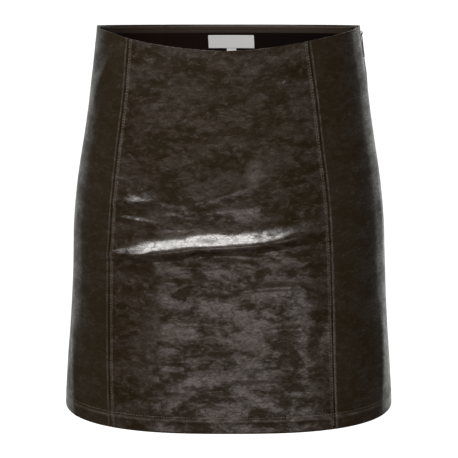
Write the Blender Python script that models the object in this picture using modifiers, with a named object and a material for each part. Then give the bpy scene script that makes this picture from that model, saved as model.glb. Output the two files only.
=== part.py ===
"""A short straight skirt in crackled faux leather, as it hangs filled out with no wearer.

Metres. +Z is up, the front faces -Y, and +X is the wearer's left. The origin is the
middle of the waist, about level with its edge at the side seams. A place on the cloth is
given by its turn (degrees of girth from the front's middle, positive towards +X), its drop
below the origin, and its lift off the outer face (negative lifts go inwards).
"""

import math
from collections import namedtuple

import bpy
import numpy as np
from mathutils import Matrix, Vector

# ---------------------------------------------------------------- sizes

WALL = 0.0012           # shell fabric with its backing
GAP = 0.0003            # between two pieces that are sewn together
HEM_DROP = 0.4245       # hem at the side seams
HEM_DIP = 0.0030        # how much lower the hem is at front and back
HEM_HALF = 0.1850       # half the hem's width
TURN_UP = 0.0200        # depth of the hem's turned-up part
HEM_BEND = 0.0015       # outer radius of the hem's fold
FACING_SET_DOWN = 0.0006
SIDE_RISE = 0.0014      # waist edge at the side seams above the origin
BACK_DIP = 0.0111       # back waist edge below the origin
BACK_HALF = 0.1048      # from the side seams back to the back's middle, at the waist

LABEL_WIDTH = 0.0532
LABEL_MIDDLE = 0.0034
LABEL_TOP = 0.0228
LABEL_DEPTH = 0.0152
LABEL_THICK = 0.0010
TAB_WIDTH = 0.0111
TAB_MIDDLE = 0.0034
TAB_DEPTH = 0.0130

CHAIN_HALF = 0.0025     # half the width of the closed chain
CHAIN_THICK = 0.0015
CHAIN_TOP = 0.0118
CHAIN_FOOT = 0.1860
TAPE_OUT = 0.0140       # outer edge of a tape, from the seam
TAPE_THICK = 0.0010
TAPE_TOP = 0.0020
TAPE_FOOT = 0.1920
SLIDER_DROP = 0.0072
NECK_HALF = 0.00055     # half the slider's neck, which parts the seam
BAR_LIFT = 0.00165      # the pull's pivot above the fabric
PULL_LENGTH = 0.0270
PULL_THICK = 0.0010

Section = namedtuple("Section", "drop left right front back power")
SECTIONS = (
    Section(0.000, 0.1448, 0.1428, 0.1000, 0.1040, 2.15),
    Section(0.015, 0.1467, 0.1450, 0.1015, 0.1055, 2.18),
    Section(0.037, 0.1491, 0.1487, 0.1035, 0.1080, 2.20),
    Section(0.060, 0.1521, 0.1523, 0.1060, 0.1110, 2.25),
    Section(0.082, 0.1546, 0.1549, 0.1080, 0.1135, 2.28),
    Section(0.104, 0.1578, 0.1580, 0.1100, 0.1157, 2.31),
    Section(0.127, 0.1616, 0.1616, 0.1122, 0.1178, 2.34),
    Section(0.150, 0.1656, 0.1655, 0.1141, 0.1198, 2.38),
    Section(0.172, 0.1688, 0.1686, 0.1157, 0.1212, 2.42),
    Section(0.195, 0.1714, 0.1712, 0.1172, 0.1222, 2.46),
    Section(0.218, 0.1732, 0.1731, 0.1186, 0.1229, 2.50),
    Section(0.241, 0.1738, 0.1738, 0.1198, 0.1233, 2.52),
    Section(0.270, 0.1746, 0.1750, 0.1212, 0.1238, 2.54),
    Section(0.300, 0.1763, 0.1763, 0.1225, 0.1244, 2.56),
    Section(0.333, 0.1785, 0.1783, 0.1240, 0.1250, 2.58),
    Section(0.370, 0.1819, 0.1812, 0.1256, 0.1257, 2.60),
    Section(0.404, 0.1842, 0.1836, 0.1272, 0.1262, 2.60),
    Section(0.430, 0.1856, 0.1849, 0.1281, 0.1266, 2.60),
)

# Where the two front seams run, seen straight from the front.
FrontSeam = namedtuple("FrontSeam", "drop left right")
FRONT_SEAMS = (
    FrontSeam(0.000, -0.1072, 0.0836),
    FrontSeam(0.025, -0.1091, 0.0873),
    FrontSeam(0.050, -0.1110, 0.0907),
    FrontSeam(0.075, -0.1135, 0.0940),
    FrontSeam(0.100, -0.1169, 0.0969),
    FrontSeam(0.125, -0.1202, 0.1000),
    FrontSeam(0.150, -0.1230, 0.1034),
    FrontSeam(0.175, -0.1255, 0.1062),
    FrontSeam(0.200, -0.1274, 0.1081),
    FrontSeam(0.225, -0.1290, 0.1094),
    FrontSeam(0.250, -0.1299, 0.1105),
    FrontSeam(0.285, -0.1304, 0.1117),
    FrontSeam(0.320, -0.1307, 0.1126),
    FrontSeam(0.355, -0.1309, 0.1135),
    FrontSeam(0.390, -0.1304, 0.1148),
    FrontSeam(0.410, -0.1300, 0.1157),
    FrontSeam(0.430, -0.1294, 0.1167),
)

# The front's waist edge dips to the middle: across, then drop.
EdgePoint = namedtuple("EdgePoint", "across drop")
FRONT_EDGE = (
    EdgePoint(-0.1460, -0.0014),
    EdgePoint(-0.1385, -0.0014),
    EdgePoint(-0.1250, -0.0002),
    EdgePoint(-0.1070, 0.0034),
    EdgePoint(-0.0870, 0.0061),
    EdgePoint(-0.0650, 0.0086),
    EdgePoint(-0.0420, 0.0107),
    EdgePoint(-0.0180, 0.0123),
    EdgePoint(0.0000, 0.0128),
    EdgePoint(0.0270, 0.0117),
    EdgePoint(0.0440, 0.0101),
    EdgePoint(0.0620, 0.0081),
    EdgePoint(0.0820, 0.0057),
    EdgePoint(0.1020, 0.0029),
    EdgePoint(0.1240, 0.0000),
    EdgePoint(0.1385, -0.0013),
    EdgePoint(0.1460, -0.0014),
)

# A fold runs through three places. Upper is its width above it, or at the right of one
# that runs down; lower is the width at its other side. A negative height is a trough.
Fold = namedtuple("Fold", "name start middle end height upper lower")
FOLDS = (
    Fold("belly_ridge_a", (-51, 0.2400), (-26, 0.2285), (0, 0.2200), 0.0052, 0.0112, 0.0060),
    Fold("belly_ridge_b", (-18, 0.2200), (9, 0.2200), (41, 0.2015), 0.0054, 0.0116, 0.0065),
    Fold("belly_hollow", (-44, 0.2440), (-12, 0.2305), (24, 0.2225), -0.0012, 0.0040, 0.0080),
    Fold("under_belly", (-34, 0.2375), (-12, 0.2350), (8, 0.2375), 0.0010, 0.0040, 0.0080),
    Fold("belly_tail", (-40, 0.2380), (-33, 0.2400), (-27, 0.2450), 0.0010, 0.0050, 0.0050),
    Fold("left_pad", (-52, 0.1815), (-39, 0.1760), (-22, 0.1715), 0.0021, 0.0076, 0.0045),
    Fold("drag_ridge", (-38, 0.1835), (-12, 0.1715), (14, 0.1500), 0.0009, 0.0055, 0.0050),
    Fold("lower_drag", (-47, 0.1920), (-33, 0.1865), (-6, 0.1945), -0.0010, 0.0060, 0.0060),
    Fold("middle_swell", (-22, 0.1870), (-4, 0.1820), (18, 0.1780), 0.0012, 0.0100, 0.0080),
    Fold("right_drag", (25, 0.1925), (33, 0.1935), (43, 0.2000), -0.0010, 0.0070, 0.0050),
    Fold("right_ridge", (26, 0.2420), (34, 0.2380), (42, 0.2320), 0.0012, 0.0070, 0.0050),
    Fold("left_diagonal", (-49, 0.2980), (-44, 0.3110), (-38, 0.3300), 0.0013, 0.0080, 0.0050),
    Fold("right_diagonal", (40, 0.3040), (36, 0.3240), (33, 0.3470), -0.0014, 0.0070, 0.0070),
    Fold("waist_pucker", (-53, 0.0120), (-64, 0.0400), (-74, 0.0860), 0.0022, 0.0080, 0.0100),
    Fold("left_edge_flute", (-73, 0.3100), (-69, 0.3700), (-65, 0.4300), 0.0013, 0.0100, 0.0090),
    Fold("right_edge_flute", (71, 0.2850), (69, 0.3500), (64, 0.4300), 0.0012, 0.0090, 0.0100),
    Fold("right_hip_flute", (74, 0.1600), (75, 0.2100), (73, 0.2650), 0.0009, 0.0090, 0.0080),
    Fold("centre_low_swell", (-20, 0.3350), (0, 0.3480), (19, 0.3420), 0.0010, 0.0160, 0.0130),
    Fold("back_seat_a", (138, 0.2340), (168, 0.2440), (196, 0.2380), 0.0018, 0.0150, 0.0090),
    Fold("back_seat_b", (176, 0.2620), (202, 0.2680), (228, 0.2560), 0.0014, 0.0120, 0.0080),
    Fold("back_hollow", (150, 0.0720), (182, 0.0790), (209, 0.0700), -0.0012, 0.0140, 0.0160),
    Fold("back_flute", (162, 0.3160), (158, 0.3700), (153, 0.4300), 0.0013, 0.0120, 0.0100),
)

# Stations down a panel, as drops on a panel whose waist edge is level. They are closer
# together where the belly's folds cross it, and the same behind the facing.
FACED_STATIONS = (0.000, 0.008, 0.020, 0.032, 0.045)
FRONT_STATIONS = FACED_STATIONS + (
    0.057, 0.069, 0.082, 0.095, 0.108, 0.121, 0.135, 0.148, 0.158, 0.166, 0.173, 0.180,
    0.187, 0.194, 0.200, 0.206, 0.212, 0.218, 0.223, 0.228, 0.233, 0.238, 0.244, 0.252,
    0.263, 0.275, 0.287, 0.299, 0.311, 0.323, 0.335, 0.348, 0.362, 0.377, 0.392, 0.408,
    0.423,
)
SIDE_STATIONS = FACED_STATIONS + (
    0.060, 0.075, 0.090, 0.106, 0.122, 0.138, 0.152, 0.164, 0.174, 0.183, 0.192, 0.201,
    0.210, 0.219, 0.228, 0.237, 0.247, 0.260, 0.275, 0.291, 0.306, 0.320, 0.334, 0.350,
    0.368, 0.387, 0.406, 0.423,
)
BACK_STATIONS = FACED_STATIONS + (
    0.060, 0.076, 0.092, 0.108, 0.124, 0.141, 0.159, 0.178, 0.192, 0.206, 0.218, 0.228,
    0.238, 0.248, 0.258, 0.270, 0.284, 0.301, 0.320, 0.342, 0.366, 0.388, 0.408, 0.423,
)

# The back's two waist darts, as turns, and how far down they are stitched.
DARTS = (146.0, 214.0)
DART_DEPTH = 0.1100
BACK_TURNS = (
    100.0, 106.0, 112.0, 118.0, 124.0, 130.0, 136.0, 141.0, 144.6, 146.0, 147.4, 151.0,
    156.5, 162.5, 168.0, 173.0, 178.0, 183.0, 188.0, 193.0, 198.5, 204.0, 209.0, 212.6,
    214.0, 215.4, 219.0, 224.0, 230.0, 236.0, 242.0, 248.0, 254.0, 260.0, 265.5,
)

# Colours are linear.
COLOURS = {
    "leather_centre": ((0.030, 0.024, 0.018), 0.34),
    "leather_side": ((0.026, 0.021, 0.013), 0.34),
    "leather_back": ((0.026, 0.021, 0.014), 0.36),
    "facing_brown": ((0.020, 0.012, 0.008), 0.55),
    "label_white": ((0.70, 0.69, 0.67), 0.80),
    "zip_tape_black": ((0.012, 0.010, 0.009), 0.85),
    "zip_chain_black": ((0.015, 0.013, 0.012), 0.45),
    "zip_metal_black": ((0.010, 0.010, 0.010), 0.30),
}


# ---------------------------------------------------------------- the cloth's form

def smooth(values, reach):
    """Soften a row of evenly spaced values over reach places at each side."""
    window = np.hanning(2 * reach + 3)[1:-1]
    window /= window.sum()
    padded = np.concatenate([
        2 * values[0] - values[reach:0:-1],
        values,
        2 * values[-1] - values[-2:-reach - 2:-1],
    ])
    return np.convolve(padded, window, mode="valid")


def column(rows, name, drops):
    """One column of a table at every drop, with the corners softened."""
    at = [row.drop for row in rows]
    return smooth(np.interp(drops, at, [getattr(row, name) for row in rows]), 7)


class Form:
    """The smooth surface that every piece of the skirt is laid on."""

    def __init__(self):
        self.drops = np.arange(-0.010, 0.4381, 0.002)
        self.turns = np.arange(-360.0, 360.01, 0.5)
        table = {name: column(SECTIONS, name, self.drops) for name in Section._fields[1:]}
        seams = {name: column(FRONT_SEAMS, name, self.drops) for name in ("left", "right")}
        shape = (len(self.drops), len(self.turns))
        self.x = np.zeros(shape)
        self.y = np.zeros(shape)
        self.girth = np.zeros(len(self.drops))
        self.marks = {name: np.zeros(len(self.drops))
                      for name in ("side_left", "front_left", "front_right", "side_right")}
        angle = np.linspace(-1.5 * math.pi, 0.5 * math.pi, 2881)
        c, s = np.cos(angle), np.sin(angle)
        front = (angle >= -math.pi - 1e-9) & (angle <= 1e-9)
        for i in range(len(self.drops)):
            power = 2 / table["power"][i]
            wide = np.where(c < 0, table["left"][i], table["right"][i])
            deep = np.where(s < 0, table["front"][i], table["back"][i])
            x = wide * np.sign(c) * np.abs(c) ** power
            y = deep * np.sign(s) * np.abs(s) ** power
            run = np.concatenate([[0.0], np.cumsum(np.hypot(np.diff(x), np.diff(y)))])
            self.girth[i] = run[-1]
            middle = np.interp(-0.5 * math.pi, angle, run)
            turn = (run - middle) * 360 / run[-1]
            whole = np.concatenate([turn[:-1] - 360, turn, turn[1:] + 360])
            self.x[i] = np.interp(self.turns, whole, np.concatenate([x[:-1], x, x[1:]]))
            self.y[i] = np.interp(self.turns, whole, np.concatenate([y[:-1], y, y[1:]]))
            self.marks["side_left"][i] = np.interp(-math.pi, angle, turn)
            self.marks["side_right"][i] = np.interp(0.0, angle, turn)
            for side in ("left", "right"):
                at = np.interp(seams[side][i], x[front], turn[front])
                self.marks["front_" + side][i] = at

    def mark(self, name, drop):
        """The turn of a seam at a drop."""
        return np.interp(drop, self.drops, self.marks[name])

    def degrees(self, length, drop):
        """A length round the skirt as degrees of turn."""
        return length * 360 / np.interp(drop, self.drops, self.girth)

    def base(self, turn, drop):
        """The place across and back, before folds."""
        turn, drop = np.broadcast_arrays(np.asarray(turn, float), np.asarray(drop, float))
        row = np.clip((drop - self.drops[0]) / 0.002, 0, len(self.drops) - 1.001)
        col = np.clip((turn - self.turns[0]) / 0.5, 0, len(self.turns) - 1.001)
        i, j = row.astype(int), col.astype(int)
        a, b = row - i, col - j
        found = []
        for grid in (self.x, self.y):
            upper = grid[i, j] * (1 - b) + grid[i, j + 1] * b
            lower = grid[i + 1, j] * (1 - b) + grid[i + 1, j + 1] * b
            found.append(upper * (1 - a) + lower * a)
        return np.stack([found[0], found[1], -drop], -1)

    def fold_height(self, turn, drop):
        """How far all the folds push the cloth out at a place."""
        turn = (np.asarray(turn, float) + 180) % 360 - 180
        scale = np.interp(drop, self.drops, self.girth) / 360
        total = np.zeros(np.broadcast(turn, drop).shape)
        for fold in FOLDS:
            t = np.linspace(0, 1, 15)[:, None]
            start, end = np.array(fold.start), np.array(fold.end)
            bend = 2 * np.array(fold.middle) - (start + end) / 2
            line = (1 - t) ** 2 * start + 2 * t * (1 - t) * bend + t ** 2 * end
            best = np.full(total.shape, 1e9)
            height = np.zeros(total.shape)
            for k in range(len(line) - 1):
                away = (turn - line[k, 0] + 180) % 360 - 180
                px, py = away * scale, drop - line[k, 1]
                dx = (line[k + 1, 0] - line[k, 0]) * scale
                dy = line[k + 1, 1] - line[k, 1]
                along = np.clip((px * dx + py * dy) / (dx * dx + dy * dy), 0, 1)
                gx, gy = px - along * dx, py - along * dy
                far = np.hypot(gx, gy)
                width = np.where(px * dy - py * dx >= 0, fold.upper, fold.lower)
                part = (k + along) / (len(line) - 1)
                fade = np.sin(np.pi * part) ** 0.8
                value = fold.height * fade * np.exp(-(far / width) ** 2)
                height = np.where(far < best, value, height)
                best = np.minimum(best, far)
            total += height
        for dart in DARTS:
            away = ((turn - dart + 180) % 360 - 180) * scale
            depth = np.clip((DART_DEPTH - drop) / 0.035, 0, 1)
            total -= 0.0010 * depth * np.exp(-(away / 0.0025) ** 2)
        return total

    def outer(self, turn, drop):
        """A place on the outer face."""
        place = self.base(turn, drop)
        along = self.base(turn + 0.5, drop) - self.base(turn - 0.5, drop)
        out = np.stack([along[..., 1], -along[..., 0], np.zeros(place.shape[:-1])], -1)
        out /= np.linalg.norm(out, axis=-1, keepdims=True)
        return place + out * self.fold_height(turn, drop)[..., None]

    def place(self, turn, drop, lift):
        """A place on the cloth, moved off its outer face along the face's normal."""
        turn, drop, lift = np.broadcast_arrays(
            np.asarray(turn, float), np.asarray(drop, float), np.asarray(lift, float))
        along = self.outer(turn + 0.6, drop) - self.outer(turn - 0.6, drop)
        down = self.outer(turn, drop + 0.002) - self.outer(turn, drop - 0.002)
        normal = np.cross(down, along)
        normal /= np.linalg.norm(normal, axis=-1, keepdims=True)
        return self.outer(turn, drop) + normal * lift[..., None]

    def waist_edge(self, turn):
        """The drop of the waist's edge."""
        place = self.base(turn, np.full(np.shape(turn), 0.008))
        front = np.interp(place[..., 0], [p.across for p in FRONT_EDGE],
                          [p.drop for p in FRONT_EDGE])
        back = np.interp(place[..., 1], (0, BACK_HALF), (-SIDE_RISE, BACK_DIP))
        return np.where(place[..., 1] < 0, front, back)

    def hem_edge(self, turn):
        """The drop of the hem's lowest line."""
        place = self.base(turn, np.full(np.shape(turn), 0.42))
        return HEM_DROP + HEM_DIP * (1 - np.clip(place[..., 0] / HEM_HALF, -1, 1) ** 4)


def seam_opening(drop):
    """Half the space between the two edges at the zip, parted where the neck comes out."""
    t = np.clip((np.asarray(drop) - 0.010) / 0.014, 0, 1)
    return GAP / 2 + (NECK_HALF + GAP / 2) * (1 - t * t * (3 - 2 * t))


# ---------------------------------------------------------------- making solids

def material(name):
    made = bpy.data.materials.get(name)
    if made:
        return made
    colour, roughness = COLOURS[name]
    made = bpy.data.materials.new(name)
    made.use_nodes = True
    shader = made.node_tree.nodes["Principled BSDF"]
    shader.inputs["Base Color"].default_value = (*colour, 1)
    shader.inputs["Roughness"].default_value = roughness
    made.diffuse_color = (*colour, 1)
    return made


def file_under(thing, collection, name, colour=None):
    """Name an object and put it in one collection only."""
    for other in list(thing.users_collection):
        other.objects.unlink(thing)
    collection.objects.link(thing)
    thing.name = name
    thing.data.name = name
    if colour:
        thing.data.materials.clear()
        thing.data.materials.append(material(colour))
    return thing


def sheet(name, places, thick, colour, collection):
    """A grid laid on rows of places, top row first, and thickened inwards."""
    rows, cols = places.shape[:2]
    bpy.ops.mesh.primitive_grid_add(x_subdivisions=cols - 1, y_subdivisions=rows - 1,
                                    size=2, location=(0, 0, 0))
    thing = file_under(bpy.context.object, collection, name, colour)
    for vertex in thing.data.vertices:
        col = round((vertex.co.x + 1) / 2 * (cols - 1))
        row = round((1 - vertex.co.y) / 2 * (rows - 1))
        vertex.co = places[row, col]
    thing.data.update()
    shell = thing.modifiers.new("thickness", "SOLIDIFY")
    shell.thickness = thick
    shell.offset = -1
    shell.use_even_offset = True
    for face in thing.data.polygons:
        face.use_smooth = True
    return thing


def between(left, right, count):
    """Column lines evenly spaced between two lines, both included."""
    def line(share):
        return lambda drop: left(drop) * (1 - share) + right(drop) * share
    return [line(share) for share in np.linspace(0, 1, count)]


def lay(form, columns, path):
    """Turns and drops of a grid. path gives its rows as shares of the way from the waist's
    edge to the hem's fold, with a step down from there."""
    level = np.array([line(np.array(0.2)) for line in columns])
    top = form.waist_edge(level)
    flat = form.hem_edge(level) - HEM_BEND
    share = np.array([row[0] for row in path])[:, None]
    step = np.array([row[1] for row in path])[:, None]
    drop = top + share * (flat - top) + step
    turn = np.stack([line(drop[:, k]) for k, line in enumerate(columns)], -1)
    return turn, drop


def panel(form, name, columns, stations, colour, collection):
    """A panel from the waist's edge to its hem, round the fold and up inside."""
    path = [(station / stations[-1], 0.0, 0.0) for station in stations]
    for step in range(1, 5):
        bend = math.pi * step / 4
        path.append((1.0, HEM_BEND * math.sin(bend), HEM_BEND * (math.cos(bend) - 1)))
    for up in (0.009, TURN_UP - HEM_BEND):
        path.append((1.0, -up, -2 * HEM_BEND))
    turn, drop = lay(form, columns, path)
    lift = np.array([row[2] for row in path])[:, None]
    return sheet(name, form.place(turn, drop, lift), WALL, colour, collection)


def facing(form, name, columns, collection):
    """A strip on the panels' own lines behind the waist's edge, over the zip's tapes."""
    path = [(station / FRONT_STATIONS[-1], 0.0) for station in FACED_STATIONS]
    path[0] = (0.0, FACING_SET_DOWN)
    turn, drop = lay(form, columns, path)
    away = np.abs(turn - form.mark("side_right", drop)) / form.degrees(1.0, drop)
    t = np.clip((away - TAPE_OUT - 0.009) / 0.012, 0, 1)
    step = (TAPE_THICK + GAP) * (1 - t * t * (3 - 2 * t))
    return sheet(name, form.place(turn, drop, -WALL - GAP - step), WALL, "facing_brown",
                 collection)


def patch(form, name, middle, width, top, foot, collection):
    """A small woven piece on the back facing's own lines."""
    def turn_at(across):
        return 180 - form.degrees(across, (top + foot) / 2)
    ends = sorted((turn_at(middle + width / 2), turn_at(middle - width / 2)))
    turn = [ends[0]] + [t for t in BACK_TURNS if ends[0] + 1 < t < ends[1] - 1] + [ends[1]]
    drop = np.linspace(top, foot, 3)[:, None]
    lift = -2 * (WALL + GAP)
    return sheet(name, form.place(np.array(turn)[None, :], drop, lift), LABEL_THICK,
                 "label_white", collection)


def strip(form, name, lines, top, foot, stations, thick, colour, collection):
    """A strip along the zip's seam, at the given distances from it."""
    rows = [top] + [s for s in stations if top + 0.004 < s < foot - 0.004] + [foot]
    drop = np.array(rows)[:, None]
    turn = form.mark("side_right", drop) + form.degrees(np.array(lines)[None, :], drop)
    return sheet(name, form.place(turn, drop, -WALL - GAP), thick, colour, collection)


def block(name, size, middle, rounding, frame, collection):
    """A box in the slider's own frame, with its edges rounded."""
    bpy.ops.mesh.primitive_cube_add(size=1, location=(0, 0, 0))
    thing = file_under(bpy.context.object, collection, name)
    thing.data.transform(Matrix.Translation(middle) @ Matrix.Diagonal((*size, 1)))
    thing.data.transform(frame)
    soft = thing.modifiers.new("rounding", "BEVEL")
    soft.width = rounding
    soft.segments = 2
    soft.limit_method = "NONE"
    return thing


def join_to(thing, other):
    """Join another solid to this one with a boolean."""
    union = thing.modifiers.new("join_" + other.name, "BOOLEAN")
    union.operation = "UNION"
    union.solver = "EXACT"
    union.object = other


def zip_frame(form):
    """The slider's frame: X out of the cloth, Z up along the seam, Y across it."""
    drop = np.array([SLIDER_DROP - 0.004, SLIDER_DROP, SLIDER_DROP + 0.004])
    line = form.outer(form.mark("side_right", drop), drop)
    up = Vector(line[0] - line[2])
    up.y = 0
    up.normalize()
    out = Vector((up.z, 0, -up.x))
    spot = Vector(line[1])
    frame = Matrix((
        (out.x, 0, up.x, spot.x),
        (out.y, 1, up.y, spot.y),
        (out.z, 0, up.z, spot.z),
        (0, 0, 0, 1),
    ))
    return frame


def slider(form, collection, cutters):
    """Slider body inside, a neck through the seam, and a plate with its crown outside."""
    frame = zip_frame(form)
    body = block("zip_slider", (0.0024, 0.0050, 0.0080), (-0.0027, 0, 0.0002), 0.0005,
                 frame, collection)
    neck = block("slider_neck", (0.0024, 2 * NECK_HALF, 0.0036), (-0.0008, 0, 0), 0.0002,
                 frame, cutters)
    plate = block("slider_plate", (0.0005, 0.0030, 0.0056), (0.00055, 0, 0), 0.0001,
                  frame, cutters)
    bpy.ops.curve.primitive_bezier_circle_add(radius=0.0021, location=(0, 0, 0))
    ring = bpy.context.object
    ring.data.transform(Matrix.Rotation(math.pi / 2, 4, "X"))
    ring.data.bevel_depth = 0.0004
    ring.data.bevel_resolution = 1
    ring.data.resolution_u = 5
    bpy.ops.object.convert(target="MESH")
    crown = file_under(bpy.context.object, cutters, "slider_crown")
    crown.data.transform(frame @ Matrix.Translation((0.0008, 0, 0)))
    half = block("crown_half", (0.0040, 0.0030, 0.0080), (0.0025, 0, 0), 0.0001, frame,
                 cutters)
    keep = crown.modifiers.new("outer_half", "BOOLEAN")
    keep.operation = "INTERSECT"
    keep.solver = "EXACT"
    keep.object = half
    for other in (neck, plate, crown):
        join_to(body, other)
    file_under(body, collection, "zip_slider", "zip_metal_black")
    return body


def pull(form, collection):
    """A flat drop-shaped pull on the crown, lying close to the cloth below it."""
    frame = zip_frame(form)
    pivot = frame @ Vector((BAR_LIFT, 0, 0))
    drop = SLIDER_DROP + PULL_LENGTH
    lift = PULL_THICK / 2 + GAP + 0.0001
    tip = Vector(form.place(form.mark("side_right", drop), drop, lift))
    down = tip - pivot
    down.y = 0
    down.normalize()
    out = Vector((-down.z, 0, down.x))
    if out.x < 0:
        out.negate()
    profile = (
        (0.0005, 0.0009), (0.0003, 0.0014), (-0.0008, 0.0017), (-0.0030, 0.0017),
        (-0.0060, 0.0014), (-0.0110, 0.0014), (-0.0160, 0.0018), (-0.0210, 0.0024),
        (-0.0240, 0.0025), (-0.0262, 0.0018), (-PULL_LENGTH, 0.0006),
    )
    outer = [(w, z) for z, w in profile] + [(-w, z) for z, w in reversed(profile)]
    eye = [(0.0008, -0.00038), (0.0010, -0.0012), (0.0010, -0.0026), (0.0006, -0.0032),
           (-0.0006, -0.0032), (-0.0010, -0.0026), (-0.0010, -0.0012), (-0.0008, -0.00038)]
    shape = bpy.data.curves.new("zip_pull", "CURVE")
    shape.dimensions = "2D"
    shape.fill_mode = "BOTH"
    shape.extrude = PULL_THICK / 2 - 0.0001
    shape.bevel_depth = 0.0001
    shape.bevel_resolution = 0
    shape.offset = -0.0001
    for points in (outer, eye):
        spline = shape.splines.new("POLY")
        spline.points.add(len(points) - 1)
        for point, (y, z) in zip(spline.points, points):
            point.co = (y, z, 0, 1)
        spline.use_cyclic_u = True
    flat = bpy.data.objects.new("zip_pull", shape)
    collection.objects.link(flat)
    for other in bpy.context.selected_objects:
        other.select_set(False)
    flat.select_set(True)
    bpy.context.view_layer.objects.active = flat
    bpy.ops.object.convert(target="MESH")
    thing = file_under(bpy.context.object, collection, "zip_pull", "zip_metal_black")
    turned = Matrix((
        (0, -down.x, out.x, 0),
        (1, 0, 0, 0),
        (0, -down.z, out.z, 0),
        (0, 0, 0, 1),
    ))
    thing.data.transform(turned)
    weld = thing.modifiers.new("weld", "WELD")
    weld.merge_threshold = 0.00001
    thing.location = pivot
    return thing


# ---------------------------------------------------------------- the skirt

def main():
    for thing in list(bpy.data.objects):
        bpy.data.objects.remove(thing, do_unlink=True)
    scene = bpy.context.scene
    skirt = bpy.data.collections.new("straight_skirt")
    cutters = bpy.data.collections.new("cutters")
    scene.collection.children.link(skirt)
    scene.collection.children.link(cutters)

    form = Form()

    def beside(name, shift, round_trip=0.0):
        """A line shift metres from a seam, towards larger turns."""
        return lambda drop: form.mark(name, drop) + form.degrees(shift, drop) + round_trip

    def zip_edge(side):
        return lambda drop: (form.mark("side_right", drop)
                             + side * form.degrees(seam_opening(drop), drop))

    def fixed(turn):
        return lambda drop: turn + 0 * drop

    half = GAP / 2
    tape = (-TAPE_OUT, -0.0080, -CHAIN_HALF - GAP)
    centre = between(beside("front_left", half), beside("front_right", -half), 27)
    side_a = between(beside("side_left", half), beside("front_left", -half), 11)
    side_b = between(beside("front_right", half), beside("side_right", -0.0225), 9)
    side_b += [beside("side_right", shift) for shift in tape]
    back = [beside("side_right", -shift) for shift in reversed(tape)]
    back += [fixed(turn) for turn in BACK_TURNS]
    back += [beside("side_left", -half, 360.0)]
    panel(form, "front_centre", centre, FRONT_STATIONS, "leather_centre", skirt)
    panel(form, "front_side_a", side_a, SIDE_STATIONS, "leather_side", skirt)
    panel(form, "front_side_b", side_b + [zip_edge(-1)], SIDE_STATIONS, "leather_side",
          skirt)
    panel(form, "back", [zip_edge(1)] + back, BACK_STATIONS, "leather_back", skirt)

    faced_front = side_a + centre[1:-1] + side_b[:-1] + [beside("side_right", -0.0050)]
    faced_back = [beside("side_right", 0.0050)] + back[1:]
    facing(form, "facing_front", faced_front, skirt)
    facing(form, "facing_back", faced_back, skirt)

    label_foot = LABEL_TOP + LABEL_DEPTH
    patch(form, "woven_label", LABEL_MIDDLE, LABEL_WIDTH, LABEL_TOP, label_foot, skirt)
    patch(form, "size_tab", TAB_MIDDLE, TAB_WIDTH, label_foot + GAP,
          label_foot + TAB_DEPTH, skirt)

    chain = (-CHAIN_HALF, 0.0, CHAIN_HALF)
    strip(form, "zip_tape_front", tape, TAPE_TOP, TAPE_FOOT, SIDE_STATIONS, TAPE_THICK,
          "zip_tape_black", skirt)
    strip(form, "zip_tape_back", [-shift for shift in reversed(tape)], TAPE_TOP, TAPE_FOOT,
          BACK_STATIONS, TAPE_THICK, "zip_tape_black", skirt)
    strip(form, "zip_chain", chain, CHAIN_TOP, CHAIN_FOOT, SIDE_STATIONS, CHAIN_THICK,
          "zip_chain_black", skirt)
    slider(form, skirt, cutters)
    pull(form, skirt)

    for thing in cutters.objects:
        thing.hide_render = True
        thing.display_type = "WIRE"


main()
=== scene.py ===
import math
from collections import namedtuple

import bpy
import numpy as np
from bpy.props import FloatProperty, FloatVectorProperty, PointerProperty
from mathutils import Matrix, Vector


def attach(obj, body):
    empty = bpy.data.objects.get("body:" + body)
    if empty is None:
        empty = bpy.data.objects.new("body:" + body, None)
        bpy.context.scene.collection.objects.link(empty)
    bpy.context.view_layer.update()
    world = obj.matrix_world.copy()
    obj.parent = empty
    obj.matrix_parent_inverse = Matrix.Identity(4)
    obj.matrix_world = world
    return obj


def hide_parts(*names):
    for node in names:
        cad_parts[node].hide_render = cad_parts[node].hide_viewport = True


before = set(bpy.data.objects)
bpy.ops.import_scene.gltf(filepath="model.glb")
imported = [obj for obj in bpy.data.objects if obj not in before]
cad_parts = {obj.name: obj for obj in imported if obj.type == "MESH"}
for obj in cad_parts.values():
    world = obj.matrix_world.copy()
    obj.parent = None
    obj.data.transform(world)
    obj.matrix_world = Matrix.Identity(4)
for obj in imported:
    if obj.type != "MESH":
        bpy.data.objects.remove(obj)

bl_info = {
    "name": "Straight skirt",
    "version": (1, 0, 0),
    "blender": (4, 5, 0),
    "location": "View3D > Sidebar > Skirt",
    "description": "Shells, stitching, zip and studio for a crackled faux leather skirt",
    "category": "Object",
}

# ---------------------------------------------------------------- the cut
# A place on the cloth has a turn (degrees of girth from the front's middle, positive
# towards +X), a drop below the waist's side seams, and a lift off the outer face.

WALL = 0.0012
GAP = 0.0003
HIP_DROP, HEM_DROP = 0.2, 0.4245
HEM_DIP = 0.0030
HEM_HALF = 0.1850
TURN_UP = 0.0200
HEM_BEND = 0.0015
RUN = HEM_DROP - HEM_BEND               # from the waist's edge to the hem's fold
SEAM_FOOT = 0.4215                      # lowest place of a seam above the fold
FACING_DEPTH, FACING_CUT = 0.0450, 0.0470
FACING_SET_DOWN = 0.0006
FACING_FROM_ZIP = 0.0050
SIDE_RISE = 0.0014
BACK_DIP = 0.0111
BACK_HALF = 0.1048
LABEL_WIDTH, LABEL_MIDDLE = 0.0532, 0.0034
LABEL_TOP, LABEL_FOOT = 0.0228, 0.0380
TAB_WIDTH, TAB_MIDDLE, TAB_FOOT = 0.0111, 0.0034, 0.0510
LABEL_THICK = 0.0009
CHAIN_HALF = 0.0025
TAPE_OUT = 0.0140
TAPE_THICK, TAPE_SHELL = 0.0010, 0.0007
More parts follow.
